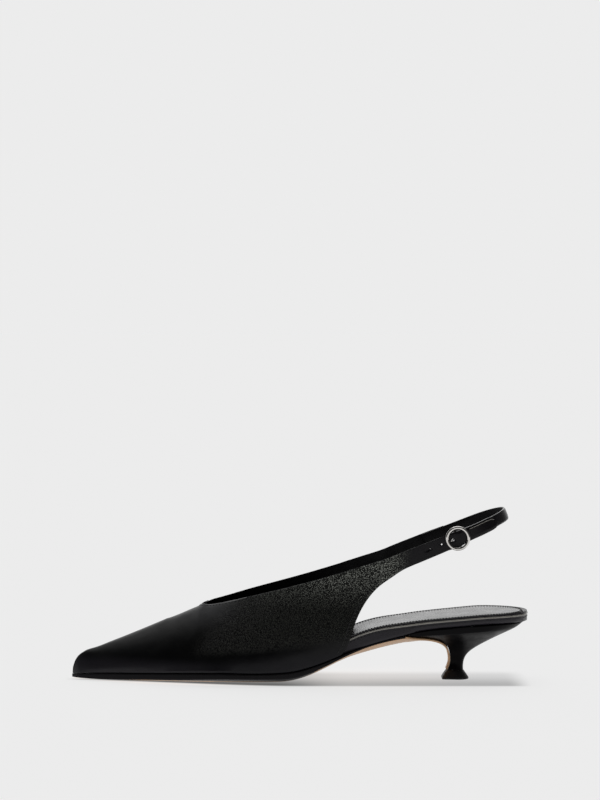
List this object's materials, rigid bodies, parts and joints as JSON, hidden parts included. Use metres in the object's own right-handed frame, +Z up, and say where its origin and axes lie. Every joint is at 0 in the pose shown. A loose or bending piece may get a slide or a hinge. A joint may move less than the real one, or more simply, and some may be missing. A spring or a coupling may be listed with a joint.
{
  "type": "slingback pump",
  "caption": "Pointed-toe slingback pump with open sides, a buckled sling strap round the heel and a low flared kitten heel, for the left foot.",
  "frame": {"origin": "middle of the top piece's underside, on the floor under the heel", "axes": "+X to the toe, +Y to the outer side of the foot, +Z up; the heel and the forefoot stand on the plane z = 0"},
  "size_m": [0.26, 0.0765, 0.0976],
  "materials": {
    "upper_leather": "black grained leather, semi-gloss, smooth at the toe",
    "strap_leather": "black smooth leather, semi-gloss",
    "rand_leather": "black smooth leather wrapped round the insole board",
    "sock_leather": "black glazed lining leather",
    "sole_leather": "natural tan sole leather, its edge painted black in the forepart",
    "heel_cover": "black leather over a moulded block",
    "top_piece_rubber": "black, satin",
    "buckle_metal": "polished silver",
    "prong_metal": "polished silver"
  },
  "bodies": {
    "root": {"upper": "upper_leather", "sling_strap": "strap_leather", "insole": "rand_leather", "sock": "sock_leather", "outsole": "sole_leather", "heel": "heel_cover", "top_piece": "top_piece_rubber", "buckle_frame": "buckle_metal", "buckle_prong": "prong_metal"}
  },
  "joints": []
}
